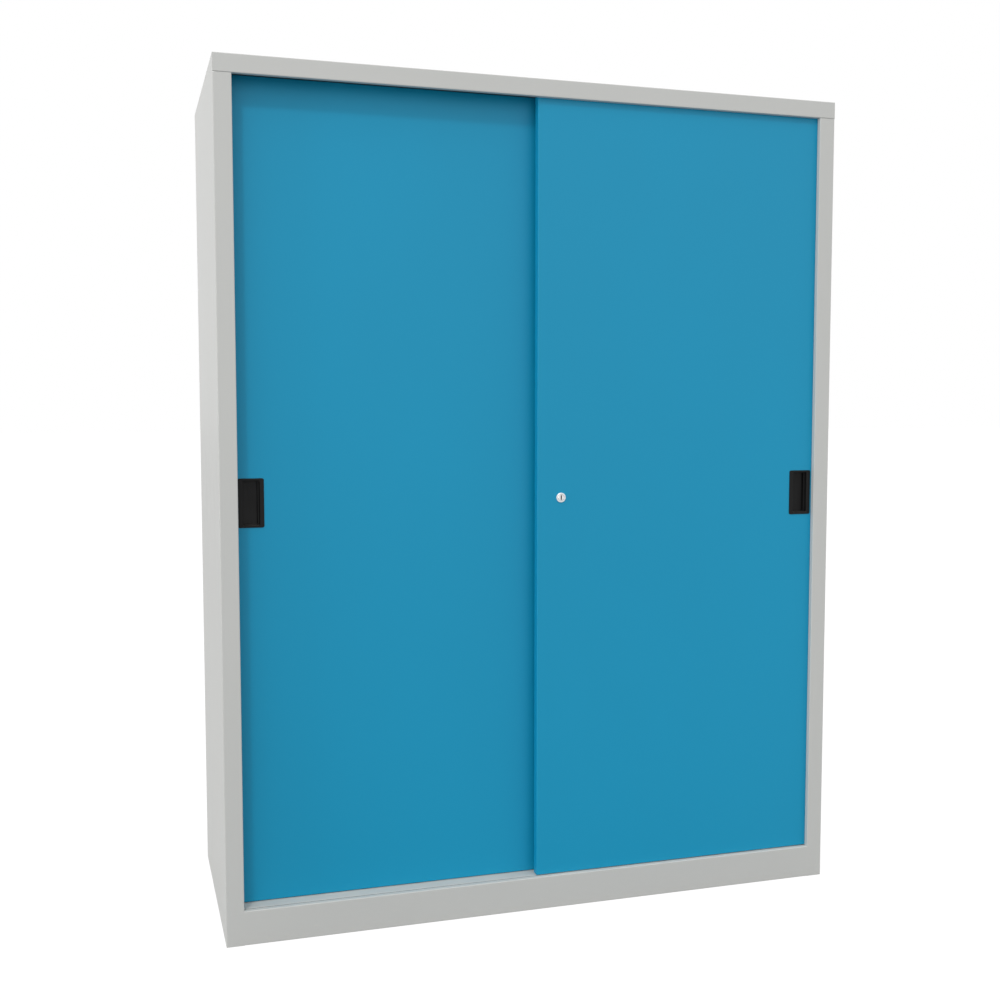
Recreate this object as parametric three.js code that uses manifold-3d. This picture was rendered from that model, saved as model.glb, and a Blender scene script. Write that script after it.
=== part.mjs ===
// Sliding door cabinet of folded steel sheet, in millimetres, +Z up.
// The origin is on the floor at the middle of the footprint, and the front faces -Y.
import * as THREE from 'three';
import { mergeVertices } from 'three/addons/utils/BufferGeometryUtils.js';
import Module from 'manifold-3d';

const wasm = await Module();
wasm.setup();

// Carcass
const width = 1500;
const depth = 600;
const height = 1950;
const sheet = 1;
const bendRadius = 1;
const stileWidth = 40;
const returnDepth = 12;
const railHeight = 40;
const plinthHeight = 78;
const rearFlange = 20;
const deckSeam = 3;
const deckFold = 12;
const rearFootDepth = 16;
const stileSeam = 0.5;

// Pressed ribs of the back panel
const ribWidth = 60;
const ribSlope = 8;
const ribDepth = 4;
const ribShares = [1 / 3, 2 / 3];

// Doors, folded pans that are open behind
const doorOverlap = 35;
const doorDepth = 20;
const doorSheet = 1;
const doorFlange = 20;
const doorTopFlange = 30;
const doorRise = 8;
const doorFloorGap = 1.5;
const doorFrontGap = 1;
const doorEndGap = 12;
const laneGap = 17;
const stiffenerWidth = 36;
const stiffenerFoot = 20;
const stiffenerSlope = 6;
const stiffenerGap = 1;
const stiffenerFootGap = 6;

// Top tracks, hangers and rollers
const trackSheet = 1.5;
const trackSet = 2;
const trackDoorGap = 3;
const railLine = 12.75;
const rollerRadius = 9.5;
const grooveRadius = 7;
const rollerWidth = 8;
const grooveMouth = 4.5;
const rollerTopGap = 2;
const axleRadius = 3;
const axleHeadRadius = 5;
const axleHeadLength = 2;
const hangerWidth = 60;
const hangerSheet = 2;
const hangerDrop = 25;
const hangerCrown = 9;
const hangerCorner = 8;
const hangerInset = 80;
const turningGap = 0.3;

// Floor guide at the middle of the opening
const guideLength = 16;
const guideBase = 1;
const guideMargin = 4;
const tongueWidth = 5;
const tongueHeight = 12;
const tongueGap = 0.5;

// Rubber buffers
const bufferHeight = 40;
const bufferBase = 4;
const bufferNose = 12;
const bufferCorner = 3;

// Recessed pulls and lock, all at one height
const gripHeight = 988;
const pullWidth = 58;
const pullHeight = 110;
const pullCorner = 4;
const pullLip = 1.5;
const pullChamfer = 0.6;
const pullSideLip = 10;
const pullEndLip = 5;
const pullStepDepth = 8.5;
const pullStep = 4;
const pullDepth = 15.5;
const pullWall = 1.5;
const pullInset = 32.5;
const lockInset = 58.5;
const lockRingRadius = 11.75;
const lockRingHeight = 3;
const lockRingChamfer = 0.8;
const lockBarrelRadius = 9.5;
const lockBarrelLength = 18;
const lockEndWall = 3;
const plungerRadius = 8;
const plungerProud = 0.5;
const plungerStopGap = 0.5;
const plungerChamfer = 0.6;
const boltRadius = 3.5;
const boltProud = 11;
const plugRadius = 6.75;
const plugLength = 14;
const keywayWidth = 3;
const keywayHeight = 11;
const keywayDepth = 10;
const nutAcross = 26;
const nutHeight = 4;

// Centre partition
const partitionClearance = 12;

// Slotted strips
const stripWidth = 25;
const stripDepth = 15;
const stripSheet = 1.25;
const stripSetback = 18;
const stripRearGap = 20;
const slotPitch = 75;
const slotStart = 60;
const slotWidth = 5;
const slotHeight = 16;

// Shelves and their brackets
const shelfSlots = [5, 11, 17];
const shelfSheet = 1;
const shelfFold = 30;
const shelfFoldDepth = 15;
const shelfFoldLip = 10;
const shelfRearReturn = 10;
const shelfFrontGap = 2;
const shelfRearGap = 8;
const shelfSideGap = 0.5;
const bracketSheet = 1.25;
const bracketHeight = 25;
const bracketLedge = 15;
const hookNeck = 8;
const hookDrop = 5;
const hookLip = 5;
const hookLipThickness = 2;
const hookGap = 0.25;

// Facets, and how far a cutter passes through what it cuts
const bendSteps = 3;
const cornerSteps = 4;
const turnSteps = 24;
const pinSteps = 16;
const cutOverrun = 5;

// Places worked out from the sizes
const sideX = width / 2;
const innerX = sideX - sheet;
const frontY = -depth / 2;
const rearY = depth / 2;
const backFaceY = rearY - 2 * sheet;
const openingX = sideX - stileWidth;
const deckTop = plinthHeight;
const roofUnder = height - sheet;
const railBottom = height - railHeight;
const half = sheet / 2;
const outerBend = bendRadius + sheet;

const doorWidth = (width + doorOverlap) / 2 - sheet - doorEndGap;
const doorCentre = innerX - doorEndGap - doorWidth / 2;
const doorBottom = deckTop + doorFloorGap;
const doorTop = railBottom + doorRise;
const frontLaneY = frontY + returnDepth + doorFrontGap;
const rearLaneY = frontLaneY + doorDepth + laneGap;
const rearLaneBackY = rearLaneY + doorDepth;

const axleZ = roofUnder - trackSheet - rollerTopGap - rollerRadius;
const trackLipTop = axleZ - grooveRadius - turningGap;
const trackBottom = doorTop + trackDoorGap;
const hangerX = doorWidth / 2 - hangerInset;
const guideLineY = doorDepth / 2;
const tongueTop = deckTop + guideBase + tongueHeight;

const partitionFrontY = rearLaneBackY + hangerSheet + partitionClearance;
const frontStripY = partitionFrontY + stripSetback;
const rearStripY = backFaceY - stripRearGap - stripWidth;
const slotCount = Math.floor((roofUnder - deckTop - 2 * slotStart) / slotPitch) + 1;
const pullX = openingX - pullInset - doorCentre;
const lockX = lockInset - doorWidth / 2;

// Finishes
function finish(color, roughness, metalness) {
  return () => new THREE.MeshStandardMaterial({ color, roughness, metalness });
}

const greyPaint = finish(0xbdbcba, 0.5, 0);
const bluePaint = finish(0x2b8fb8, 0.45, 0);
const blackPlastic = finish(0x222222, 0.5, 0);
const chrome = finish(0xe6eef0, 0.15, 1);
const zincSteel = finish(0xa9adb0, 0.4, 1);
const nylon = finish(0xe4e2da, 0.5, 0);
const rubber = finish(0x1c1c1c, 0.85, 0);

// Helpers for shapes
const xAxis = new THREE.Vector3(1, 0, 0);
const yAxis = new THREE.Vector3(0, 1, 0);
const zAxis = new THREE.Vector3(0, 0, 1);
const sideView = new THREE.Matrix4().makeBasis(yAxis, zAxis, xAxis);
const frontView = new THREE.Matrix4().makeBasis(xAxis, zAxis, yAxis.clone().negate());

function extrude(shape, length) {
  return new THREE.ExtrudeGeometry(shape, { depth: length, bevelEnabled: false });
}

// A shape drawn in (y, z), run along X
function alongX(shape, from, to) {
  return extrude(shape, to - from).applyMatrix4(sideView).translate(from, 0, 0);
}

// A shape drawn in (x, z), run along Y
function alongY(shape, from, to) {
  return extrude(shape, to - from).applyMatrix4(frontView).translate(0, to, 0);
}

// A shape drawn in (x, y), run along Z
function alongZ(shape, from, to) {
  return extrude(shape, to - from).translate(0, 0, from);
}

function block(x, y, z) {
  const box = new THREE.BoxGeometry(x[1] - x[0], y[1] - y[0], z[1] - z[0]);
  return box.translate((x[0] + x[1]) / 2, (y[0] + y[1]) / 2, (z[0] + z[1]) / 2);
}

function outline(points) {
  return new THREE.Shape(points.map(([a, b]) => new THREE.Vector2(a, b)));
}

// Turned about Y: the profile is a closed list of (radius, y) points
function turned(profile, steps = turnSteps) {
  const points = [...profile, profile[0]].map(([r, y]) => new THREE.Vector2(r, y));
  return new THREE.LatheGeometry(points, steps);
}

// The outline of a bent sheet: the points are its middle line, and its bends are round
function bentSheet(points, thickness, innerRadius = bendRadius) {
  const middleRadius = innerRadius + thickness / 2;
  const corners = points.map(([a, b]) => new THREE.Vector2(a, b));
  const last = corners.length - 1;
  const leftFace = [];
  const rightFace = [];
  const leftOf = (direction) => new THREE.Vector2(-direction.y, direction.x);
  const add = (point, normal) => {
    leftFace.push(point.clone().addScaledVector(normal, thickness / 2));
    rightFace.unshift(point.clone().addScaledVector(normal, -thickness / 2));
  };
  corners.forEach((corner, i) => {
    const before = i > 0 ? corner.clone().sub(corners[i - 1]).normalize() : null;
    const after = i < last ? corners[i + 1].clone().sub(corner).normalize() : null;
    if (!before || !after) {
      add(corner, leftOf(before || after));
      return;
    }
    const turn = Math.atan2(before.cross(after), before.dot(after));
    const side = Math.sign(turn);
    const start = corner.clone().addScaledVector(before, -middleRadius * Math.tan(Math.abs(turn) / 2));
    const centre = start.clone().addScaledVector(leftOf(before), side * middleRadius);
    for (let k = 0; k <= bendSteps; k += 1) {
      const normal = leftOf(before).rotateAround(new THREE.Vector2(), (turn * k) / bendSteps);
      add(centre.clone().addScaledVector(normal, -side * middleRadius), normal);
    }
  });
  return new THREE.Shape([...leftFace, ...rightFace]);
}

// A rectangle centred on a point, with a quarter circle at each corner that has a radius
function roundedRectangle(centre, size, [lowLeft, lowRight, highRight, highLeft]) {
  const [x, y] = [size[0] / 2, size[1] / 2];
  const quarters = [
    [-x + lowLeft, -y + lowLeft, lowLeft, Math.PI],
    [x - lowRight, -y + lowRight, lowRight, 1.5 * Math.PI],
    [x - highRight, y - highRight, highRight, 0],
    [-x + highLeft, y - highLeft, highLeft, Math.PI / 2],
  ];
  const points = [];
  quarters.forEach(([cx, cy, radius, start]) => {
    const steps = radius > 0 ? cornerSteps : 0;
    for (let k = 0; k <= steps; k += 1) {
      const angle = start + (steps ? (k / steps) * (Math.PI / 2) : 0);
      points.push([
        centre[0] + cx + radius * Math.cos(angle),
        centre[1] + cy + radius * Math.sin(angle),
      ]);
    }
  });
  return outline(points);
}

// Booleans
function solid(geometry) {
  const bare = geometry.clone();
  bare.deleteAttribute('normal');
  bare.deleteAttribute('uv');
  const merged = mergeVertices(bare);
  return new wasm.Manifold(new wasm.Mesh({
    numProp: 3,
    vertProperties: new Float32Array(merged.attributes.position.array),
    triVerts: new Uint32Array(merged.index.array),
  }));
}

function joined(geometries) {
  return geometries.map(solid).reduce((sum, next) => sum.add(next));
}

function cut(body, cutters) {
  return cutters.map(solid).reduce((rest, cutter) => rest.subtract(cutter), body);
}

function geometryOf(body) {
  const { vertProperties, triVerts } = body.getMesh();
  const indexed = new THREE.BufferGeometry();
  indexed.setAttribute('position', new THREE.BufferAttribute(vertProperties, 3));
  indexed.setIndex(new THREE.BufferAttribute(triVerts, 1));
  const flat = indexed.toNonIndexed();
  flat.computeVertexNormals();
  return flat;
}

const cabinet = new THREE.Group();

function place(group, name, shape, material, position = [0, 0, 0]) {
  const geometry = shape.isBufferGeometry ? shape : geometryOf(shape);
  const mesh = new THREE.Mesh(geometry, material());
  mesh.name = name;
  mesh.position.set(...position);
  group.add(mesh);
  return mesh;
}

const sides = [['left', -1], ['right', 1]];

// Side panel: the sheet, its front stile with a return, and a rear flange.
// The stile stops a seam below the rail, and is filled square where the plinth meets it.
function sidePanel(side) {
  const across = (x) => side * x;
  const section = bentSheet([
    [across(openingX + half), frontY + returnDepth],
    [across(openingX + half), frontY + half],
    [across(sideX - half), frontY + half],
    [across(sideX - half), rearY - half],
    [across(sideX - rearFlange), rearY - half],
  ], sheet);
  const span = (a, b) => [across(a), across(b)].sort((p, q) => p - q);
  const cornerFill = block(
    span(openingX, openingX + outerBend),
    [frontY, frontY + outerBend],
    [0, plinthHeight],
  );
  const aboveSeam = [railBottom - stileSeam, height];
  const railNotch = block(
    span(openingX - cutOverrun, sideX + cutOverrun),
    [frontY - cutOverrun, frontY + sheet],
    aboveSeam,
  );
  const stileNotch = block(
    span(openingX - cutOverrun, innerX),
    [frontY - cutOverrun, frontY + returnDepth + cutOverrun],
    aboveSeam,
  );
  const besideFlange = [height - rearFlange, height];
  const rearNotch = block(
    span(sideX - rearFlange - cutOverrun, sideX + cutOverrun),
    [rearY - sheet, rearY + cutOverrun],
    besideFlange,
  );
  const flangeNotch = block(
    span(sideX - rearFlange - cutOverrun, innerX),
    [rearY - outerBend, rearY + cutOverrun],
    besideFlange,
  );
  const body = joined([alongZ(section, 0, roofUnder), cornerFill]);
  return cut(body, [railNotch, stileNotch, rearNotch, flangeNotch]);
}

sides.forEach(([label, side]) => {
  place(cabinet, `side_panel_${label}`, sidePanel(side), greyPaint);
});

// Top panel: the front rail with its return, the roof and a rear flange
const topSection = bentSheet([
  [frontY + returnDepth, railBottom + half],
  [frontY + half, railBottom + half],
  [frontY + half, height - half],
  [rearY - half, height - half],
  [rearY - half, height - rearFlange],
], sheet);
const overSidePanels = sides.map(([, side]) => block(
  [side * innerX, side * (sideX + cutOverrun)].sort((a, b) => a - b),
  [frontY + sheet, rearY - sheet],
  [railBottom - cutOverrun, roofUnder],
));
const topPanel = cut(solid(alongX(topSection, -sideX, sideX)), overSidePanels);
place(cabinet, 'top_panel', topPanel, greyPaint);

// Plinth: a channel that lies flush between the stiles
const plinthSection = bentSheet([
  [frontY + returnDepth, half],
  [frontY + half, half],
  [frontY + half, plinthHeight - half],
  [frontY + returnDepth, plinthHeight - half],
], sheet);
place(cabinet, 'plinth', alongX(plinthSection, -openingX, openingX), greyPaint);

// Bottom panel: the floor, level with the plinth's return and a seam behind it.
// It is turned down in front, and behind to a rear foot that meets the ribs of the back panel.
const deckFrontY = frontY + returnDepth + deckSeam;
const deckRearY = backFaceY - ribDepth;
const floorSection = bentSheet([
  [deckFrontY + half, deckTop - deckFold],
  [deckFrontY + half, deckTop - half],
  [deckRearY - half, deckTop - half],
  [deckRearY - half, half],
  [deckRearY - rearFootDepth, half],
], sheet);
place(cabinet, 'bottom_panel', alongX(floorSection, -innerX, innerX), greyPaint);

// Back panel, with pressed ribs that stand into the cabinet
const backLine = backFaceY + half;
const ribCentres = [-innerX, 0].flatMap((start) => ribShares.map((share) => start + share * innerX));
const backPoints = ribCentres.flatMap((x) => [
  [x - ribWidth / 2, backLine],
  [x - ribWidth / 2 + ribSlope, backLine - ribDepth],
  [x + ribWidth / 2 - ribSlope, backLine - ribDepth],
  [x + ribWidth / 2, backLine],
]);
const backX = innerX - bendRadius;
const backSection = bentSheet([[-backX, backLine], ...backPoints, [backX, backLine]], sheet);
place(cabinet, 'back_panel', alongZ(backSection, 0, roofUnder - bendRadius), greyPaint);

// Centre partition, with a front flange and a rear flange on its right
const partitionSection = bentSheet([
  [stripDepth, partitionFrontY + returnDepth],
  [stripDepth, partitionFrontY + half],
  [0, partitionFrontY + half],
  [0, backFaceY - half],
  [stripDepth, backFaceY - half],
], sheet);
place(cabinet, 'centre_partition', alongZ(partitionSection, deckTop, roofUnder), greyPaint);

// Top tracks: each hangs from the roof, and its upturned lip carries the rollers of one door
function topTrack(laneY) {
  const middle = trackSheet / 2;
  const webY = laneY + trackSet + middle;
  const section = bentSheet([
    [laneY + doorDepth, roofUnder - middle],
    [webY, roofUnder - middle],
    [webY, trackBottom + middle],
    [laneY + railLine, trackBottom + middle],
    [laneY + railLine, trackLipTop],
  ], trackSheet);
  return alongX(section, -innerX, innerX);
}

place(cabinet, 'top_track_front', topTrack(frontLaneY), zincSteel);
place(cabinet, 'top_track_rear', topTrack(rearLaneY), zincSteel);

// Floor guide: a plate with a tongue under each door
function tongue(laneY) {
  const y = laneY + guideLineY;
  const round = tongueWidth / 2;
  const size = [tongueWidth, guideBase + tongueHeight];
  return alongX(
    roundedRectangle([y, deckTop + size[1] / 2], size, [0, 0, round, round]),
    -guideLength / 2,
    guideLength / 2,
  );
}

const guidePlate = block(
  [-guideLength / 2, guideLength / 2],
  [frontLaneY + guideMargin, rearLaneBackY - guideMargin],
  [deckTop, deckTop + guideBase],
);
place(cabinet, 'floor_guide', joined([guidePlate, tongue(frontLaneY), tongue(rearLaneY)]), nylon);

// Buffers: a base on each side panel with a rounded nose for each door
function buffer(side) {
  const reach = doorEndGap - turningGap;
  const nose = (laneY) => roundedRectangle(
    [side * (innerX - reach / 2), laneY + doorDepth / 2],
    [reach, bufferNose],
    side < 0 ? [0, bufferCorner, bufferCorner, 0] : [bufferCorner, 0, 0, bufferCorner],
  );
  const base = roundedRectangle(
    [side * (innerX - bufferBase / 2), (frontLaneY + rearLaneBackY) / 2],
    [bufferBase, rearLaneBackY - frontLaneY],
    [0, 0, 0, 0],
  );
  const span = [gripHeight - bufferHeight / 2, gripHeight + bufferHeight / 2];
  return joined([base, nose(frontLaneY), nose(rearLaneY)].map((shape) => alongZ(shape, ...span)));
}

sides.forEach(([label, side]) => {
  place(cabinet, `door_buffer_${label}`, buffer(side), rubber);
});

// Slotted strip on a wall at x = 0, standing out to the right, with a row of slots
function slottedStrip() {
  const middle = stripSheet / 2;
  const section = bentSheet([
    [0, middle],
    [stripDepth - middle, middle],
    [stripDepth - middle, stripWidth - middle],
    [0, stripWidth - middle],
  ], stripSheet);
  const slots = Array.from({ length: slotCount }, (_, k) => {
    const z = deckTop + slotStart + k * slotPitch;
    return block(
      [stripDepth - stripSheet - cutOverrun, stripDepth + cutOverrun],
      [(stripWidth - slotWidth) / 2, (stripWidth + slotWidth) / 2],
      [z - slotHeight / 2, z + slotHeight / 2],
    );
  });
  return cut(solid(alongZ(section, deckTop, roofUnder)), slots);
}

// The two bays, each between two walls that face each other
const bays = [
  { name: 'left', walls: [['outer', -innerX, 1], ['inner', -half, -1]] },
  { name: 'right', walls: [['inner', half, 1], ['outer', innerX, -1]] },
];
const stripRows = [['front', frontStripY], ['rear', rearStripY]];

bays.forEach((bay) => bay.walls.forEach(([label, wallX, facing]) => {
  stripRows.forEach(([row, y]) => {
    const shape = facing > 0 ? slottedStrip() : slottedStrip().mirror([1, 0, 0]);
    place(cabinet, `strip_${bay.name}_${label}_${row}`, shape, greyPaint, [wallX, 0, 0])
      .position.setY(y);
  });
}));

// Shelf bracket: an angle that hooks into two strips of one wall and carries a shelf's end.
// Its own zero is the strip's face, and the top of its ledge is at z = 0.
const bracketLength = rearStripY + stripWidth - frontStripY;
function shelfBracket() {
  const middle = bracketSheet / 2;
  const section = bentSheet([
    [middle, -bracketHeight],
    [middle, -middle],
    [bracketLedge, -middle],
  ], bracketSheet);
  const hookThickness = slotWidth - 2 * hookGap;
  const behind = -stripSheet - hookGap - hookLipThickness;
  const neckBottom = -hookDrop - hookNeck;
  const hook = (y) => alongY(outline([
    [middle, neckBottom],
    [-stripSheet - hookGap, neckBottom],
    [-stripSheet - hookGap, neckBottom - hookLip],
    [behind, neckBottom - hookLip],
    [behind, -hookDrop],
    [middle, -hookDrop],
  ]), y - hookThickness / 2, y + hookThickness / 2);
  const slotLines = [stripWidth / 2, bracketLength - stripWidth / 2];
  return joined([alongY(section, 0, bracketLength), ...slotLines.map(hook)]);
}

// Shelf: a tray with a boxed front edge and a turned rear edge, its top at z = 0
const shelfFrontY = partitionFrontY + shelfFrontGap;
const shelfDepth = backFaceY - shelfRearGap - shelfFrontY;
function shelf(length) {
  const middle = shelfSheet / 2;
  const section = bentSheet([
    [shelfFoldDepth - middle, shelfFoldLip - shelfFold],
    [shelfFoldDepth - middle, middle - shelfFold],
    [middle, middle - shelfFold],
    [middle, -middle],
    [shelfDepth - middle, -middle],
    [shelfDepth - middle, middle - shelfFold],
    [shelfDepth - shelfRearReturn, middle - shelfFold],
  ], shelfSheet);
  return alongX(section, -length / 2, length / 2);
}

bays.forEach((bay) => {
  const [start, end] = bay.walls.map(([, wallX]) => wallX);
  const clear = end - start - 2 * (stripDepth + bracketSheet + shelfSideGap);
  shelfSlots.forEach((slot, level) => {
    const slotBottom = deckTop + slotStart + slot * slotPitch - slotHeight / 2;
    const ledgeTop = slotBottom + hookGap + hookNeck + hookDrop;
    const label = `${bay.name}_${level + 1}`;
    place(cabinet, `shelf_${label}`, shelf(clear), greyPaint,
      [(start + end) / 2, shelfFrontY, ledgeTop + shelfSheet]);
    bay.walls.forEach(([wall, wallX, facing]) => {
      const shape = facing > 0 ? shelfBracket() : shelfBracket().mirror([1, 0, 0]);
      place(cabinet, `bracket_${label}_${wall}`, shape, zincSteel,
        [wallX + facing * stripDepth, frontStripY, ledgeTop]);
    });
  });
});

// Door pan: the skin, four folded edges and their flanges behind, with a slot below for the guide.
// Its own zero is the middle of its width, at its front face.
function doorPan(cutters) {
  const size = [doorWidth, doorDepth];
  const bend = bendRadius + doorSheet;
  const shell = roundedRectangle([0, doorDepth / 2], size, [bend, bend, 0, 0]);
  const hollowSize = size.map((length) => length - 2 * doorSheet);
  const hollow = roundedRectangle([0, doorDepth / 2], hollowSize, [bendRadius, bendRadius, 0, 0]);
  const inside = alongZ(hollow, doorBottom + doorSheet, doorTop - doorSheet);
  const window = block(
    [doorFlange - doorWidth / 2, doorWidth / 2 - doorFlange],
    [doorDepth / 2, doorDepth + cutOverrun],
    [doorBottom + doorFlange, doorTop - doorTopFlange],
  );
  const slotHalf = tongueWidth / 2 + tongueGap;
  const guideSlot = block(
    [2 * doorSheet - doorWidth / 2, doorWidth / 2 - 2 * doorSheet],
    [guideLineY - slotHalf, guideLineY + slotHalf],
    [doorBottom - cutOverrun, doorBottom + doorSheet * 2],
  );
  return cut(solid(alongZ(shell, doorBottom, doorTop)), [inside, window, guideSlot, ...cutters]);
}

function pullCutter(x) {
  const wide = pullWidth / 2 - pullSideLip + pullWall + turningGap;
  const high = pullHeight / 2 - pullEndLip + pullWall + turningGap;
  return block([x - wide, x + wide], [-cutOverrun, doorDepth / 2], [gripHeight - high, gripHeight + high]);
}

function lockCutter(x) {
  const radius = lockBarrelRadius + turningGap;
  return new THREE.CylinderGeometry(radius, radius, doorDepth, turnSteps).translate(x, 0, gripHeight);
}

// Hat-shaped stiffener behind the middle of a door's skin, from above the floor guide to the top edge
function stiffener() {
  const middle = doorSheet / 2;
  const skin = doorSheet + middle;
  const crest = doorDepth - doorSheet - stiffenerGap - middle;
  const inner = stiffenerWidth / 2 - stiffenerSlope;
  const outer = stiffenerWidth / 2;
  const foot = outer + stiffenerFoot;
  const section = bentSheet(
    [[-foot, skin], [-outer, skin], [-inner, crest], [inner, crest], [outer, skin], [foot, skin]],
    doorSheet,
  );
  return alongZ(section, tongueTop + stiffenerFootGap, doorTop - doorSheet);
}

// Hanger plate on the back of a door's top flange, with a hole for the axle
function hanger() {
  const low = doorTop - hangerDrop;
  const high = axleZ + hangerCrown;
  const plate = roundedRectangle(
    [0, (low + high) / 2],
    [hangerWidth, high - low],
    [0, 0, hangerCorner, hangerCorner],
  );
  const hole = new THREE.Path().absarc(0, axleZ, axleRadius + turningGap, 0, 2 * Math.PI);
  plate.holes.push(new THREE.Path(hole.getPoints(pinSteps).slice(1)));
  return alongY(plate, doorDepth, doorDepth + hangerSheet);
}

// Grooved roller, about its own middle
function roller() {
  const bore = axleRadius + turningGap;
  const face = rollerWidth / 2;
  const mouth = grooveMouth / 2;
  const floor = trackSheet / 2 + turningGap;
  return turned([
    [bore, -face], [rollerRadius, -face], [rollerRadius, -mouth], [grooveRadius, -floor],
    [grooveRadius, floor], [rollerRadius, mouth], [rollerRadius, face], [bore, face],
  ]);
}

// Axle: a head in front of the roller, a shoulder behind it, and a riveted end behind the hanger
function axle() {
  const head = railLine - rollerWidth / 2 - turningGap;
  const shoulder = railLine + rollerWidth / 2 + turningGap;
  const plate = doorDepth - turningGap;
  const rivet = doorDepth + hangerSheet + turningGap;
  return turned([
    [0, head - axleHeadLength], [axleHeadRadius, head - axleHeadLength], [axleHeadRadius, head],
    [axleRadius, head], [axleRadius, shoulder], [axleHeadRadius, shoulder], [axleHeadRadius, plate],
    [axleRadius, plate], [axleRadius, rivet], [axleHeadRadius, rivet],
    [axleHeadRadius, rivet + axleHeadLength], [0, rivet + axleHeadLength],
  ], pinSteps);
}

// Recessed pull: a chamfered lip on the skin, and a stepped pocket behind it for the fingers
function pull() {
  const opening = pullWidth / 2 - pullSideLip;
  const tall = pullHeight / 2 - pullEndLip;
  const lipShape = roundedRectangle(
    [0, 0],
    [pullWidth - 2 * pullChamfer, pullHeight - 2 * pullChamfer],
    Array(4).fill(pullCorner - pullChamfer),
  );
  const lip = new THREE.ExtrudeGeometry(lipShape, {
    depth: pullLip - pullChamfer,
    bevelThickness: pullChamfer,
    bevelSize: pullChamfer,
    bevelSegments: 1,
  }).applyMatrix4(frontView);
  const lipFace = -pullLip;
  const behindLip = block(
    [-pullWidth / 2, pullWidth / 2],
    [0, cutOverrun],
    [-pullHeight / 2, pullHeight / 2],
  );
  const step = opening - pullStep;
  const stepY = lipFace + pullStepDepth;
  const floorY = lipFace + pullDepth;
  const cup = outline([
    [-opening - pullWall, lipFace + pullLip / 2], [opening + pullWall, lipFace + pullLip / 2],
    [opening + pullWall, stepY + pullWall], [step + pullWall, stepY + pullWall],
    [step + pullWall, floorY + pullWall], [-step - pullWall, floorY + pullWall],
    [-step - pullWall, stepY + pullWall], [-opening - pullWall, stepY + pullWall],
  ]);
  const pocket = outline([
    [-opening, lipFace - cutOverrun], [opening, lipFace - cutOverrun], [opening, stepY],
    [step, stepY], [step, floorY], [-step, floorY], [-step, stepY], [-opening, stepY],
  ]);
  const body = cut(solid(lip), [behindLip]).add(solid(alongZ(cup, -tall - pullWall, tall + pullWall)));
  return cut(body, [alongZ(pocket, -tall, tall)]);
}

// Lock housing: a ring on the skin and a barrel behind it, with an end wall round the bolt
function lockHousing() {
  const bore = plungerRadius + turningGap;
  const end = lockBarrelLength;
  return turned([
    [bore, -lockRingHeight], [lockRingRadius - lockRingChamfer, -lockRingHeight],
    [lockRingRadius, lockRingChamfer - lockRingHeight], [lockRingRadius, 0],
    [lockBarrelRadius, 0], [lockBarrelRadius, end], [boltRadius + turningGap, end],
    [boltRadius + turningGap, end - lockEndWall], [bore, end - lockEndWall],
  ]);
}

// Plunger, pushed in: it nearly fills the barrel, and its bolt stands in the gap between the doors
const plungerFace = -lockRingHeight - plungerProud;
const plungerEnd = lockBarrelLength - lockEndWall - plungerStopGap;
function lockPlunger() {
  const socket = plugRadius + turningGap;
  const socketEnd = plungerFace + plugLength + 2 * turningGap;
  const boltEnd = lockBarrelLength + boltProud;
  return turned([
    [socket, plungerFace], [plungerRadius - plungerChamfer, plungerFace],
    [plungerRadius, plungerFace + plungerChamfer], [plungerRadius, plungerEnd],
    [boltRadius, plungerEnd], [boltRadius, boltEnd], [0, boltEnd], [0, socketEnd], [socket, socketEnd],
  ]);
}

// Plug: it turns in the plunger, with a keyway in its face
function lockPlug() {
  const face = plungerFace + turningGap;
  const end = face + plugLength;
  const body = turned([[0, face], [plugRadius, face], [plugRadius, end], [0, end]]);
  const keyway = block(
    [-keywayWidth / 2, keywayWidth / 2],
    [face - cutOverrun, face + keywayDepth],
    [-keywayHeight / 2, keywayHeight / 2],
  );
  return cut(solid(body), [keyway]);
}

function lockNut() {
  const radius = nutAcross / 2 / Math.cos(Math.PI / 6);
  const hex = new THREE.CylinderGeometry(radius, radius, nutHeight, 6);
  const boreRadius = lockBarrelRadius + turningGap;
  const bore = new THREE.CylinderGeometry(boreRadius, boreRadius, nutHeight + cutOverrun, turnSteps);
  return cut(solid(hex), [bore]);
}

// Doors: the front one at the right, the rear one at the left
const doors = [
  { name: 'front_door', side: 1, laneY: frontLaneY },
  { name: 'rear_door', side: -1, laneY: rearLaneY },
];

doors.forEach(({ name, side, laneY }) => {
  const door = new THREE.Group();
  door.position.set(side * doorCentre, laneY, 0);
  cabinet.add(door);
  const cutters = [pullCutter(side * pullX)];
  if (side > 0) cutters.push(lockCutter(lockX));
  place(door, name, doorPan(cutters), bluePaint);
  place(door, `${name}_stiffener`, stiffener(), zincSteel);
  place(door, `${name}_pull`, pull(), blackPlastic, [side * pullX, 0, gripHeight]);
  sides.forEach(([label, end]) => {
    place(door, `${name}_hanger_${label}`, hanger(), zincSteel, [end * hangerX, 0, 0]);
    place(door, `${name}_roller_${label}`, roller(), nylon, [end * hangerX, railLine, axleZ]);
    place(door, `${name}_axle_${label}`, axle(), zincSteel, [end * hangerX, 0, axleZ]);
  });
  if (side > 0) {
    place(door, 'lock_housing', lockHousing(), chrome, [lockX, 0, gripHeight]);
    place(door, 'lock_nut', lockNut(), zincSteel, [lockX, doorSheet + nutHeight / 2, gripHeight]);
    place(door, 'lock_plunger', lockPlunger(), chrome, [lockX, 0, gripHeight]);
    place(door, 'lock_plug', lockPlug(), chrome, [lockX, 0, gripHeight]);
  }
});

export default cabinet;
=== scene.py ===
# Sliding door cabinet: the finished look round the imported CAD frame, in metres.
from math import pi, radians

import bmesh
import bpy
from mathutils import Matrix, Vector


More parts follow.
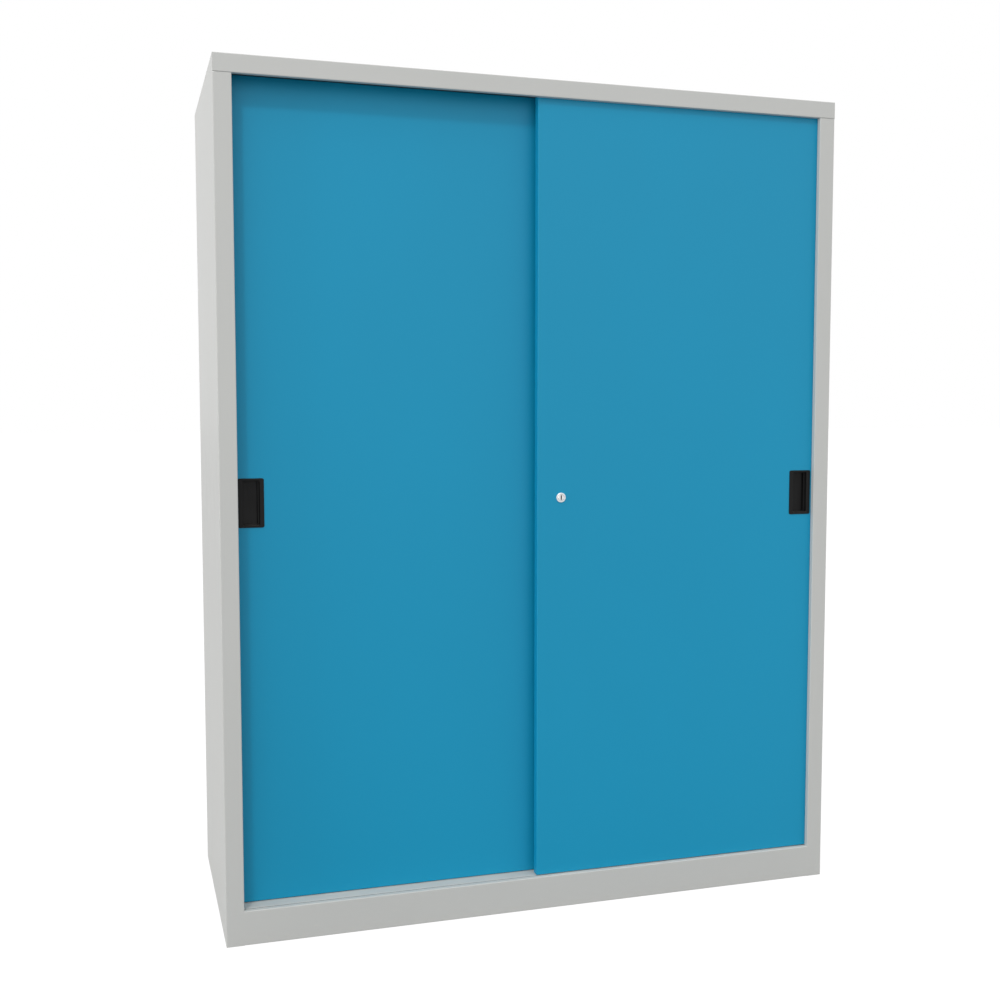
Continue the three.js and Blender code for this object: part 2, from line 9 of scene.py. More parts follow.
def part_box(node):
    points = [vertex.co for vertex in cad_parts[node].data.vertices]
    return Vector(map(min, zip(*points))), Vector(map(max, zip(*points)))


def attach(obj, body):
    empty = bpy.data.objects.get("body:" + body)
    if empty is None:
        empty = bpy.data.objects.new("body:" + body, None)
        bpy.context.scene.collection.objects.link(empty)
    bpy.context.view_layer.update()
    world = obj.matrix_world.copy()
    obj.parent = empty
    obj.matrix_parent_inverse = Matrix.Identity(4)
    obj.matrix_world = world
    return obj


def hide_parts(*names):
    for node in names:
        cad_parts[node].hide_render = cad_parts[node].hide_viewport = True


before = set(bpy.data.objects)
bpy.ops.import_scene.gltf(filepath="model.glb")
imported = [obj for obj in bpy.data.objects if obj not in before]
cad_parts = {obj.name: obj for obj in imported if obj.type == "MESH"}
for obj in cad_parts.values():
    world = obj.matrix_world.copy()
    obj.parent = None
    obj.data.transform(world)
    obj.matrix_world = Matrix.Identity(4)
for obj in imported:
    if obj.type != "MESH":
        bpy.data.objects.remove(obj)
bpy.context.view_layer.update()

MM = 0.001
# Points nearer than this are one
WELD = 0.01 * MM
# Turns a flat shape to face the front
FRONT = Matrix.Rotation(radians(90), 4, "X")

# Paint, plastic and metal colours, linear
GREY_PAINT = (0.56, 0.566, 0.549)
# Rubbed colours are lighter than the paints: worn folds, and also a painted highlight along them
GREY_WORN_HIGHLIT = (0.66, 0.665, 0.65)
BLUE_PAINT = (0.0012, 0.295, 0.51)
BLUE_WORN_HIGHLIT = (0.02, 0.33, 0.55)
# Dust colour, which also paints light on up-facing surfaces such as the ledge
DUST_AND_TOP_LIGHT = (0.82, 0.765, 0.68)
BLACK_PLASTIC = (0.0035, 0.0035, 0.0037)
BLACK_WORN = (0.03, 0.03, 0.03)
CHROME = (0.975, 0.985, 0.99)
ZINC = (0.5, 0.515, 0.525)
ZINC_DULL = (0.36, 0.37, 0.37)
CHROME_BRIGHT = (0.99, 0.99, 0.985)
NYLON = (0.72, 0.7, 0.63)
NYLON_GREASED = (0.42, 0.4, 0.35)
RUBBER = (0.011, 0.011, 0.012)
RUBBER_CHALKED = (0.035, 0.035, 0.035)
# A dark grey that paints the shade in the seam behind the plinth
SEAM_SHADE_GREY = (0.17, 0.172, 0.168)
SEAM_SHADE_RUBBED = (0.23, 0.23, 0.225)


# Node helpers
def new_group(name, inputs, outputs):
    """A shader node group with float inputs given as (name, default) and float outputs."""
    tree = bpy.data.node_groups.new(name, "ShaderNodeTree")
    for label, value in inputs:
        socket = tree.interface.new_socket(label, in_out="INPUT", socket_type="NodeSocketFloat")
        socket.default_value = value
    for label in outputs:
        tree.interface.new_socket(label, in_out="OUTPUT", socket_type="NodeSocketFloat")
    return tree, tree.nodes.new("NodeGroupInput").outputs, tree.nodes.new("NodeGroupOutput").inputs


def feed(tree, socket, value):
    """A socket takes a link from another socket, or a plain value."""
    if isinstance(value, bpy.types.NodeSocket):
        tree.links.new(value, socket)
    else:
        socket.default_value = value


def maths(tree, operation, *values, clamp=False):
    """One step of arithmetic on sockets and plain values."""
    node = tree.nodes.new("ShaderNodeMath")
    node.operation = operation
    node.use_clamp = clamp
    for socket, value in zip(node.inputs, values):
        feed(tree, socket, value)
    return node.outputs[0]


def stretched(tree, scale):
    """Object coordinates, squeezed or drawn out along each axis."""
    place = tree.nodes.new("ShaderNodeTexCoord").outputs["Object"]
    mapping = tree.nodes.new("ShaderNodeMapping")
    mapping.inputs["Scale"].default_value = scale
    tree.links.new(place, mapping.inputs["Vector"])
    return mapping.outputs[0]


def noise(tree, vector, scale, detail=2.0, roughness=0.5):
    """Cloudy noise, from 0 to 1 about a half."""
    node = tree.nodes.new("ShaderNodeTexNoise")
    tree.links.new(vector, node.inputs["Vector"])
    feed(tree, node.inputs["Scale"], scale)
    node.inputs["Detail"].default_value = detail
    node.inputs["Roughness"].default_value = roughness
    return node.outputs[0]


def height_of(tree, kind, output):
    """The upright part of a vector that a node of this kind puts out."""
    split = tree.nodes.new("ShaderNodeSeparateXYZ")
    tree.links.new(tree.nodes.new(kind).outputs[output], split.inputs[0])
    return split.outputs["Z"]


def remap(tree, value, low, high, to_low=0.0, to_high=1.0):
    """A smooth step from one range of values to another."""
    node = tree.nodes.new("ShaderNodeMapRange")
    node.interpolation_type = "SMOOTHSTEP"
    feed(tree, node.inputs["Value"], value)
    for label, number in (("From Min", low), ("From Max", high), ("To Min", to_low), ("To Max", to_high)):
        feed(tree, node.inputs[label], number)
    return node.outputs[0]


def blended(tree, factor, first, second):
    """Goes from the first colour to the second as the factor goes from 0 to 1."""
    node = tree.nodes.new("ShaderNodeMix")
    node.data_type = "RGBA"
    feed(tree, node.inputs[0], factor)
    for socket, colour in ((node.inputs[6], first), (node.inputs[7], second)):
        feed(tree, socket, colour if isinstance(colour, bpy.types.NodeSocket) else (*colour, 1.0))
    return node.outputs[2]


# Shared effects
def orange_peel_group():
    """The fine waviness of baked powder coat."""
    tree, given, out = new_group("orange_peel", [("Scale", 420.0)], ["Height"])
    place = stretched(tree, (1, 1, 1))
    fine = noise(tree, place, given["Scale"], detail=1.5)
    broad = noise(tree, place, maths(tree, "MULTIPLY", given["Scale"], 0.23), detail=1.0)
    tree.links.new(maths(tree, "MULTIPLY_ADD", broad, 0.6, fine), out["Height"])
    return tree


def sheet_tone_group():
    """Slow unevenness of a painted sheet, from 0 to 1."""
    tree, given, out = new_group("sheet_tone", [("Scale", 1.4)], ["Tone"])
    slow = noise(tree, stretched(tree, (1, 1, 0.6)), given["Scale"], detail=3.0, roughness=0.55)
    tree.links.new(remap(tree, slow, 0.3, 0.7), out["Tone"])
    return tree


def worn_and_highlit_edges_group():
    """Where folded and moulded edges are rubbed, broken up by noise; on the paints the lighter colour laid
    here is also a painted highlight along the folds.
    """
    tree, given, out = new_group("worn_and_highlit_edges", [("Width", 0.8 * MM), ("Reach", 0.5)], ["Mask"])
    bevel = tree.nodes.new("ShaderNodeBevel")
    bevel.samples = 4
    tree.links.new(given["Width"], bevel.inputs["Radius"])
    geometry = tree.nodes.new("ShaderNodeNewGeometry")
    dot = tree.nodes.new("ShaderNodeVectorMath")
    dot.operation = "DOT_PRODUCT"
    tree.links.new(bevel.outputs[0], dot.inputs[0])
    tree.links.new(geometry.outputs["Normal"], dot.inputs[1])
    turned_away = maths(tree, "SUBTRACT", 1.0, dot.outputs["Value"])
    edge = remap(tree, turned_away, 0.01, 0.12)
    patch = noise(tree, stretched(tree, (1, 1, 1)), 38.0, detail=4.0, roughness=0.65)
    broken = remap(tree, patch, maths(tree, "SUBTRACT", 0.75, given["Reach"]), 0.8)
    tree.links.new(maths(tree, "MULTIPLY", edge, broken), out["Mask"])
    return tree


def dust_and_top_light_group():
    """A thin film of dust on what faces up, strong enough to be painted light from above as well."""
    tree, given, out = new_group("dust_and_top_light", [("Amount", 0.5)], ["Mask"])
    facing_up = remap(tree, height_of(tree, "ShaderNodeNewGeometry", "Normal"), 0.6, 0.95)
    cloud = noise(tree, stretched(tree, (1, 1, 1)), 9.0, detail=5.0, roughness=0.6)
    patch = remap(tree, cloud, 0.3, 0.7, to_low=0.6)
    film = maths(tree, "MULTIPLY", facing_up, patch)
    tree.links.new(maths(tree, "MULTIPLY", film, given["Amount"]), out["Mask"])
    return tree


def scuff_group():
    """Faint drawn-out scuffs near the floor, where shoes and mops reach."""
    tree, given, out = new_group("floor_scuffs", [("Top", 0.11)], ["Mask"])
    low = remap(tree, height_of(tree, "ShaderNodeTexCoord", "Object"), given["Top"], 0.0)
    drawn_out = noise(tree, stretched(tree, (1, 1, 5)), 26.0, detail=6.0, roughness=0.7)
    streak = remap(tree, drawn_out, 0.56, 0.72)
    tree.links.new(maths(tree, "MULTIPLY", low, streak), out["Mask"])
    return tree


def handled_group():
    """Where hands reach, round one height of the doors: a slight polish in patches."""
    tree, given, out = new_group("handled", [("Height", 0.988), ("Reach", 0.22)], ["Mask"])
    height = height_of(tree, "ShaderNodeTexCoord", "Object")
    away = maths(tree, "ABSOLUTE", maths(tree, "SUBTRACT", height, given["Height"]))
    near = remap(tree, away, given["Reach"], 0.0)
    cloud = noise(tree, stretched(tree, (1, 1, 1)), 16.0, detail=4.0, roughness=0.6)
    patch = remap(tree, cloud, 0.42, 0.66)
    tree.links.new(maths(tree, "MULTIPLY", near, patch), out["Mask"])
    return tree


def brush_lines_group():
    """Fine lines along one axis of rolled, plated steel."""
    tree, given, out = new_group("brush_lines", [("Scale", 900.0)], ["Height"])
    lines = noise(tree, stretched(tree, (0.02, 1, 1)), given["Scale"], roughness=0.6)
    tree.links.new(lines, out["Height"])
    return tree


def zinc_spangle_group():
    """The cloudy patches of a zinc plate."""
    tree, given, out = new_group("zinc_spangle", [("Scale", 130.0)], ["Tone"])
    cells = tree.nodes.new("ShaderNodeTexVoronoi")
    tree.links.new(stretched(tree, (1, 1, 1)), cells.inputs["Vector"])
    tree.links.new(given["Scale"], cells.inputs["Scale"])
    split = tree.nodes.new("ShaderNodeSeparateColor")
    tree.links.new(cells.outputs["Color"], split.inputs[0])
    coarse = maths(tree, "MULTIPLY", given["Scale"], 0.4)
    cloud = noise(tree, stretched(tree, (1, 1, 1)), coarse, detail=3.0)
    softened = maths(tree, "MULTIPLY", cloud, 0.65)
    tree.links.new(maths(tree, "MULTIPLY_ADD", split.outputs[0], 0.35, softened), out["Tone"])
    return tree


def moulded_grain_group():
    """The spark-eroded skin of a moulded part."""
    tree, given, out = new_group("moulded_grain", [("Scale", 1900.0)], ["Height"])
    place = stretched(tree, (1, 1, 1))
    pits = tree.nodes.new("ShaderNodeTexVoronoi")
    pits.feature = "SMOOTH_F1"
    tree.links.new(place, pits.inputs["Vector"])
    tree.links.new(given["Scale"], pits.inputs["Scale"])
    coarse = maths(tree, "MULTIPLY", given["Scale"], 0.5)
    cloud = noise(tree, place, coarse, detail=3.0, roughness=0.6)
    tree.links.new(maths(tree, "MULTIPLY_ADD", pits.outputs["Distance"], 0.6, cloud), out["Height"])
    return tree


GROUPS = {tree.name: tree for tree in (
    orange_peel_group(), sheet_tone_group(), worn_and_highlit_edges_group(), dust_and_top_light_group(), scuff_group(),
    handled_group(), brush_lines_group(), zinc_spangle_group(), moulded_grain_group(),
)}


def effect(tree, name, **values):
    """Places a shared effect in a material and returns its one output."""
    node = tree.nodes.new("ShaderNodeGroup")
    node.node_tree = GROUPS[name]
    for label, value in values.items():
        node.inputs[label].default_value = value
    return node.outputs[0]


# Finishes
def blank_material(name, **constants):
    """A material with one Principled shader, whose plain values are set on its own sockets."""
    material = bpy.data.materials.new(name)
    material.use_nodes = True
    shader = material.node_tree.nodes["Principled BSDF"]
    for label, value in constants.items():
        shader.inputs[label.replace("_", " ")].default_value = value
    return material, material.node_tree, shader.inputs


def shaded(colour, factor):
    """A colour made darker or lighter."""
    return tuple(channel * factor for channel in colour)


def relief(tree, height, distance):
    """A normal for fine relief, as deep as the distance in metres."""
    bump = tree.nodes.new("ShaderNodeBump")
    bump.inputs["Distance"].default_value = distance
    tree.links.new(height, bump.inputs["Height"])
    return bump.outputs[0]


def powder_coat(name, colour, worn_highlit, ior, roughness, tone_depth):
    """Baked powder coat: orange peel, slow tone, rubbed folds that also carry a painted highlight, dust
    that also paints light on what faces up, scuffs and handling.
    """
    material, tree, sockets = blank_material(name, IOR=ior, Metallic=0.0)
    tone = effect(tree, "sheet_tone")
    edges = effect(tree, "worn_and_highlit_edges")
    dust_and_lit_tops = effect(tree, "dust_and_top_light")
    scuffs = effect(tree, "floor_scuffs")
    handled = effect(tree, "handled")
    paint = blended(tree, tone, shaded(colour, 1 - tone_depth), shaded(colour, 1 + tone_depth))
    # Lighter rubbed edges: real wear, and also a painted highlight on the folds
    paint = blended(tree, maths(tree, "MULTIPLY", edges, 0.5), paint, worn_highlit)
    paint = blended(tree, maths(tree, "MULTIPLY", scuffs, 0.10), paint, DUST_AND_TOP_LIGHT)
    # Dust on up-facing surfaces, strong enough to also paint light on the ledge and tops
    paint = blended(tree, dust_and_lit_tops, paint, DUST_AND_TOP_LIGHT)
    tree.links.new(paint, sockets["Base Color"])
    gloss = maths(tree, "MULTIPLY_ADD", tone, 0.05, roughness)
    gloss = maths(tree, "MULTIPLY_ADD", scuffs, 0.12, gloss)
    gloss = maths(tree, "MULTIPLY_ADD", dust_and_lit_tops, 0.5, gloss)
    gloss = maths(tree, "MULTIPLY_ADD", handled, -0.05, gloss)
    gloss = maths(tree, "MULTIPLY_ADD", edges, -0.08, gloss, clamp=True)
    tree.links.new(gloss, sockets["Roughness"])
    tree.links.new(relief(tree, effect(tree, "orange_peel"), 0.02 * MM), sockets["Normal"])
    return material


def plated_zinc():
    """Zinc plate: clouded, with fine rolled lines and brighter edges."""
    material, tree, sockets = blank_material("zinc_plate", Metallic=1.0)
    spangle = effect(tree, "zinc_spangle")
    edges = effect(tree, "worn_and_highlit_edges")
    plate = blended(tree, spangle, ZINC_DULL, ZINC)
    plate = blended(tree, maths(tree, "MULTIPLY", edges, 0.5), plate, CHROME)
    plate = blended(tree, effect(tree, "dust_and_top_light", Amount=0.15), plate, DUST_AND_TOP_LIGHT)
    tree.links.new(plate, sockets["Base Color"])
    tree.links.new(maths(tree, "MULTIPLY_ADD", spangle, 0.2, 0.28), sockets["Roughness"])
    tree.links.new(relief(tree, effect(tree, "brush_lines"), 0.004 * MM), sockets["Normal"])
    return material


def polished_chrome():
    """Satin chrome: hazy, with finer lines than the zinc."""
    material, tree, sockets = blank_material("chrome_plate", Metallic=1.0)
    haze = effect(tree, "sheet_tone", Scale=220.0)
    lines = effect(tree, "brush_lines", Scale=2400.0)
    edges = effect(tree, "worn_and_highlit_edges", Width=0.4 * MM)
    plate = blended(tree, haze, shaded(CHROME, 0.96), CHROME)
    plate = blended(tree, maths(tree, "MULTIPLY", edges, 0.4), plate, CHROME_BRIGHT)
    tree.links.new(plate, sockets["Base Color"])
    tree.links.new(maths(tree, "MULTIPLY_ADD", haze, 0.06, 0.26), sockets["Roughness"])
    tree.links.new(relief(tree, lines, 0.0015 * MM), sockets["Normal"])
    return material


def moulded(name, colour, worn, roughness, grain, pit_depth, wear, specular=0.5):
    """A moulded part: pitted skin, rubbed edges and a little dust."""
    material, tree, sockets = blank_material(name, IOR=1.45, Metallic=0.0, Specular_IOR_Level=specular)
    tone = effect(tree, "sheet_tone", Scale=30.0)
    edges = effect(tree, "worn_and_highlit_edges", Width=0.6 * MM, Reach=0.6)
    skin = blended(tree, tone, shaded(colour, 0.93), shaded(colour, 1.07))
    skin = blended(tree, maths(tree, "MULTIPLY", edges, wear), skin, worn)
    skin = blended(tree, effect(tree, "dust_and_top_light", Amount=0.05), skin, DUST_AND_TOP_LIGHT)
    tree.links.new(skin, sockets["Base Color"])
    gloss = maths(tree, "MULTIPLY_ADD", tone, 0.08, roughness)
    tree.links.new(maths(tree, "MULTIPLY_ADD", edges, -0.12, gloss, clamp=True), sockets["Roughness"])
    tree.links.new(relief(tree, effect(tree, "moulded_grain", Scale=grain), pit_depth), sockets["Normal"])
    return material


FINISHES = {
    "frame_grey": powder_coat("grey_powder_coat", GREY_PAINT, GREY_WORN_HIGHLIT,
                              ior=1.5, roughness=0.36, tone_depth=0.012),
    "door_blue": powder_coat("blue_powder_coat", BLUE_PAINT, BLUE_WORN_HIGHLIT,
                             ior=1.41, roughness=0.4, tone_depth=0.02),
    "black_plastic": moulded("black_moulding", BLACK_PLASTIC, BLACK_WORN, roughness=0.42,
                             grain=1900.0, pit_depth=0.03 * MM, wear=0.4, specular=0.3),
    "chrome": polished_chrome(),
    "zinc_steel": plated_zinc(),
    "nylon": moulded("white_nylon", NYLON, NYLON_GREASED, roughness=0.4,
                     grain=1200.0, pit_depth=0.01 * MM, wear=0.35),
    "rubber": moulded("black_rubber", RUBBER, RUBBER_CHALKED, roughness=0.75,
                      grain=900.0, pit_depth=0.04 * MM, wear=0.6),
    "seam_shade": moulded("painted_seam_shade_grey", SEAM_SHADE_GREY, SEAM_SHADE_RUBBED, roughness=0.7,
                      grain=900.0, pit_depth=0.03 * MM, wear=0.4),
}

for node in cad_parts.values():
    for index, material in enumerate(node.data.materials):
        node.material_slots[index].material = FINISHES[material.name]


# Shaping helpers
# Angles in degrees: from where shading is sharp, edges are rounded, or faces count as flat
SHARP_ANGLE = 35
ROUNDED_ANGLE = 40
TURNED_ANGLE = 30
EASED_ANGLE = 50
FLAT_ANGLE = 1


def finish_piece(bm, name, body, slot, replaced=(), finish=None, sharp=SHARP_ANGLE):
    """Closes a shape into an object that rides on its body and takes its slot's finish, or its own."""
    bmesh.ops.remove_doubles(bm, verts=bm.verts, dist=WELD)
    bmesh.ops.dissolve_degenerate(bm, dist=WELD, edges=bm.edges)
    bmesh.ops.recalc_face_normals(bm, faces=bm.faces)
    mesh = bpy.data.meshes.new(name)
    bm.to_mesh(mesh)
    bm.free()
    mesh.shade_smooth()
    mesh.set_sharp_from_angle(angle=radians(sharp))
    mesh.materials.append(FINISHES[finish or slot])
    piece = bpy.data.objects.new(name, mesh)
    bpy.context.scene.collection.objects.link(piece)
    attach(piece, body)
    if replaced:
        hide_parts(*replaced)


def round_edges(bm, radius, segments=3, angle=ROUNDED_ANGLE, chosen=None):
    """Rounds the edges that turn by more than an angle, or the chosen ones."""
    edges = chosen if chosen is not None else [
        e for e in bm.edges if len(e.link_faces) == 2 and e.calc_face_angle(0) > radians(angle)]
    bmesh.ops.bevel(bm, geom=edges, offset=radius, offset_type="OFFSET", segments=segments, profile=0.5,
                    affect="EDGES", clamp_overlap=True, material=-1)


def turned(bm, profile, centre, steps):
    """Spins a profile of (radius, depth) in millimetres round an axis that runs back from centre."""
    verts = [bm.verts.new(centre + Vector((radius, depth, 0)) * MM) for radius, depth in profile]
    edges = [bm.edges.new(pair) for pair in zip(verts, verts[1:])]
    bmesh.ops.spin(bm, geom=verts + edges, cent=centre, axis=(0, 1, 0), angle=2 * pi, steps=steps,
                   use_merge=True)


def rounded_face(bm, centre, width, height, corner, segments=6):
    """One face that looks to the front, with round corners."""
    verts = bmesh.ops.create_grid(bm, x_segments=1, y_segments=1, size=0.5)["verts"]
    place = Matrix.Translation(centre) @ FRONT @ Matrix.Diagonal((width, height, 1, 1))
    bmesh.ops.transform(bm, matrix=place, verts=verts)
    bmesh.ops.bevel(bm, geom=verts, offset=corner, offset_type="OFFSET", segments=segments, profile=0.5,
                    affect="VERTICES", clamp_overlap=True, material=-1)
    return bm.faces[:][0]


def step_face(bm, face, depth, across, up):
    """Draws a face along its normal and shrinks it, which leaves a wall round it."""
    bmesh.ops.inset_individual(bm, faces=[face], thickness=0.0, depth=depth, use_even_offset=True)
    centre = face.calc_center_bounds()
    bmesh.ops.scale(bm, vec=(across, 1, up), space=Matrix.Translation(-centre), verts=face.verts[:])


def front_middle(node):
    """The middle of a node's front, which its turned piece starts from."""
    low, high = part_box(node)
    return Vector(((low.x + high.x) / 2, low.y, (low.z + high.z) / 2))


def turned_part(name, node, body, slot, profile, steps, rounding):
    """Replaces a round node by one turned from a profile, with its edges rounded."""
    bm = bmesh.new()
    turned(bm, profile, front_middle(node), steps)
    bmesh.ops.remove_doubles(bm, verts=bm.verts, dist=WELD)
    round_edges(bm, rounding, segments=2, angle=TURNED_ANGLE)
    finish_piece(bm, name, body, slot, [node])


def merged_copy(node):
    """A node's mesh with its triangles joined into flat faces."""
    bm = bmesh.new()
    bm.from_mesh(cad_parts[node].data)
    bmesh.ops.remove_doubles(bm, verts=bm.verts, dist=WELD)
    bmesh.ops.dissolve_limit(bm, angle_limit=radians(FLAT_ANGLE), verts=bm.verts, edges=bm.edges)
    return bm


def eased_copy(name, node, body, slot, radius):
    """A node with its sharp edges eased by a small radius."""
    bm = merged_copy(node)
    round_edges(bm, radius, segments=2, angle=EASED_ANGLE)
    finish_piece(bm, name, body, slot, [node])


# Doors: their outer edges at the top and bottom are rounded, as the side folds are
DOOR_FOLD = 1.2 * MM
DOOR_SIDE_FOLD = 2 * MM


def folded_door(door):
    """A door whose outer edges at the top and bottom are rounded."""
    low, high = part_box(door)
    bm = merged_copy(door)

    def on_outer_fold(edge):
        middle = (edge.verts[0].co + edge.verts[1].co) / 2
        at_end = min(middle.z - low.z, high.z - middle.z) < WELD
        in_front = middle.y - low.y < DOOR_SIDE_FOLD
        at_side = min(middle.x - low.x, high.x - middle.x) < WELD
        return at_end and (in_front or at_side) and edge.calc_face_angle(0) > radians(EASED_ANGLE)

    folds = [edge for edge in bm.edges if on_outer_fold(edge)]
    round_edges(bm, DOOR_FOLD, chosen=folds)
    finish_piece(bm, f"{door}_folded", door, "door_blue", [door], sharp=FLAT_ANGLE)


for door in ("front_door", "rear_door"):
    folded_door(door)


# Recessed pulls
PULL_LIP = 1.5 * MM
PULL_SIZE = (58 * MM, 110 * MM)
PULL_CORNER = 4 * MM
PULL_EDGE = 0.55 * MM
# Each step is (depth, width, height) of the next ring, in millimetres; depth counts along the normal
POCKET = [
    (0, 39, 101), (-0.8, 38, 99.8), (-7.7, 37.4, 99), (0, 30.6, 98), (-0.5, 29.8, 97.6), (-6.5, 29, 97),
]
CUP = [(0, 41, 103), (8.5, 41, 103), (0, 33, 101), (7, 32.5, 100)]


def through_steps(bm, face, steps, size):
    """Draws a face through the given rings, one after another."""
    width, height = size
    for depth, wide, tall in steps:
        step_face(bm, face, depth * MM, wide * MM / width, tall * MM / height)
        width, height = wide * MM, tall * MM


def recessed_pull(door):
    """A lip with a stepped pocket in its front and the pocket's outer wall behind it."""
    node = f"{door}_pull"
    low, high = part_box(node)
    centre = (low + high) / 2
    centre.y = low.y + PULL_LIP
    bm = bmesh.new()
    lip = rounded_face(bm, centre, *PULL_SIZE, PULL_CORNER)
    lip_front = bmesh.ops.extrude_discrete_faces(bm, faces=[lip])["faces"][0]
    bmesh.ops.translate(bm, vec=(0, -PULL_LIP, 0), verts=lip_front.verts[:])
    back = bmesh.ops.contextual_create(bm, geom=[e for e in bm.edges if e.is_boundary])["faces"][0]
    back.normal_update()
    if back.normal.y < 0:
        back.normal_flip()
    through_steps(bm, lip_front, POCKET, PULL_SIZE)
    through_steps(bm, back, CUP, PULL_SIZE)
    round_edges(bm, PULL_EDGE)
    finish_piece(bm, f"{door}_pull_cup", door, "black_plastic", [node])


for door in ("front_door", "rear_door"):
    recessed_pull(door)


# Lock: profiles of (radius, depth) in millimetres, from each node's front
RING_PROFILE = [
    (8.3, 18), (3.8, 18), (3.8, 21), (9.5, 21), (9.5, 3), (11.75, 3), (11.75, 1.5), (11.1, 0.5), (10.1, 0),
    (8.6, 0), (8.3, 0.3), (8.3, 18),
]
BUTTON_PROFILE = [
    (0, 14.6), (7.05, 14.6), (7.05, 0.15), (7.2, 0), (7.4, 0), (8, 0.6), (8, 18), (3.5, 18), (3.5, 31.5),
    (2.5, 32.5), (0, 32.5),
]
PLUG_RADIUS = 6.75 * MM
PLUG_LENGTH = 14 * MM
KEYWAY = (3 * MM, 11 * MM)
KEYWAY_DEPTH = 10 * MM
KEYWAY_EDGE = 0.15 * MM
KEYWAY_CORNER_SHARE = 0.3
PLUG_EDGE = 0.35 * MM
PLUG_STEPS = 32
# A black plate behind the keyway's mouth paints the shade inside the keyhole
SHADE_PLATE_SET = 2.2 * MM
SHADE_PLATE_THICKNESS = 0.5 * MM
SHADE_PLATE_CLEARANCE = 0.1 * MM


def draw_back(bm, edges, depth):
    """Draws an open ring of edges back into a wall and closes its end."""
    drawn = bmesh.ops.extrude_edge_only(bm, edges=edges)["geom"]
    verts = [v for v in drawn if isinstance(v, bmesh.types.BMVert)]
    bmesh.ops.translate(bm, vec=(0, depth, 0), verts=verts)
    end = [e for e in drawn if isinstance(e, bmesh.types.BMEdge)]
    bmesh.ops.holes_fill(bm, edges=end, sides=len(end))


def lock_plug():
    """The lock's cylinder, with a straight keyway."""
    centre = front_middle("lock_plug")
    bm = bmesh.new()
    keyway = rounded_face(bm, centre, *KEYWAY, KEYWAY[0] * KEYWAY_CORNER_SHARE, segments=7)
    inner = keyway.edges[:]
    bmesh.ops.delete(bm, geom=[keyway], context="FACES_ONLY")
    rim = bmesh.ops.create_circle(bm, cap_ends=False, segments=PLUG_STEPS, radius=PLUG_RADIUS,
                                  matrix=Matrix.Translation(centre) @ FRONT)["verts"]
    outer = list({e for v in rim for e in v.link_edges})
    bmesh.ops.bridge_loops(bm, edges=inner + outer)
    draw_back(bm, inner, KEYWAY_DEPTH)
    draw_back(bm, outer, PLUG_LENGTH)
    round_edges(bm, PLUG_EDGE, chosen=[e for e in outer if e.is_valid])
    round_edges(bm, KEYWAY_EDGE, segments=2, chosen=[e for e in inner if e.is_valid])
    finish_piece(bm, "lock_cylinder", "lock_plug", "chrome", ["lock_plug"])


def keyway_painted_shade():
    """A black plate set inside the keyway: painted shade for the keyhole's dark depth."""
    centre = front_middle("lock_plug") + Vector((0, SHADE_PLATE_SET, 0))
    width, height = (length - 2 * SHADE_PLATE_CLEARANCE for length in KEYWAY)
    bm = bmesh.new()
    face = rounded_face(bm, centre, width, height, width * KEYWAY_CORNER_SHARE, segments=4)
    plate = bmesh.ops.extrude_face_region(bm, geom=[face])["geom"]
    verts = [v for v in plate if isinstance(v, bmesh.types.BMVert)]
    bmesh.ops.translate(bm, vec=(0, SHADE_PLATE_THICKNESS, 0), verts=verts)
    finish_piece(bm, "keyway_painted_shade", "lock_plug", "black_plastic")


turned_part("lock_ring", "lock_housing", "front_door", "chrome", RING_PROFILE,
            steps=64, rounding=0.3 * MM)
turned_part("lock_button", "lock_plunger", "lock_plunger", "chrome", BUTTON_PROFILE,
            steps=48, rounding=0.2 * MM)
lock_plug()
keyway_painted_shade()


# Running gear: each roller turns on an axle that is riveted to a hanger; profiles as for the lock
ROLLER_PROFILE = [
    (3.3, 0.2), (3.5, 0), (5, 0), (5.4, 0.7), (8, 0.7), (8.4, 0), (9.2, 0), (9.5, 0.3), (9.5, 1.75),
    (7, 2.95), (7, 5.05), (9.5, 6.25), (9.5, 7.7), (9.2, 8), (8.4, 8), (8, 7.3), (5.4, 7.3), (5, 8),
    (3.5, 8), (3.3, 7.8), (3.3, 0.2),
]
AXLE_PROFILE = [
    (0, 0), (2.5, 0.15), (4.2, 0.6), (5, 1.3), (5, 2), (3, 2), (3, 10.6), (4.8, 10.6), (5, 10.8),
    (5, 13.25), (3, 13.25), (3, 15.85), (4.7, 15.85), (4.9, 16.4), (4, 17.3), (2.2, 17.8), (0, 17.85),
]
# A pan head with a round socket, from its seat on the back of its hanger
SCREW_PROFILE = [
    (0, 0), (4.2, 0), (4.2, 0.9), (3.6, 2.2), (2.2, 2.9), (1.5, 3), (1.3, 2.8), (1.3, 1.5), (0, 1.5),
]
SCREW_STEPS = 24
SCREW_SPREAD = 20 * MM
SCREW_RISE = 11 * MM


def hanger_screws(door, side):
    """Two screws that hold a hanger on the door's top flange."""
    low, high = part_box(f"{door}_hanger_{side}")
    bm = bmesh.new()
    for shift in (-SCREW_SPREAD, SCREW_SPREAD):
        centre = Vector(((low.x + high.x) / 2 + shift, high.y, low.z + SCREW_RISE))
        turned(bm, SCREW_PROFILE, centre, SCREW_STEPS)
    finish_piece(bm, f"{door}_hanger_{side}_screws", door, "zinc_steel")


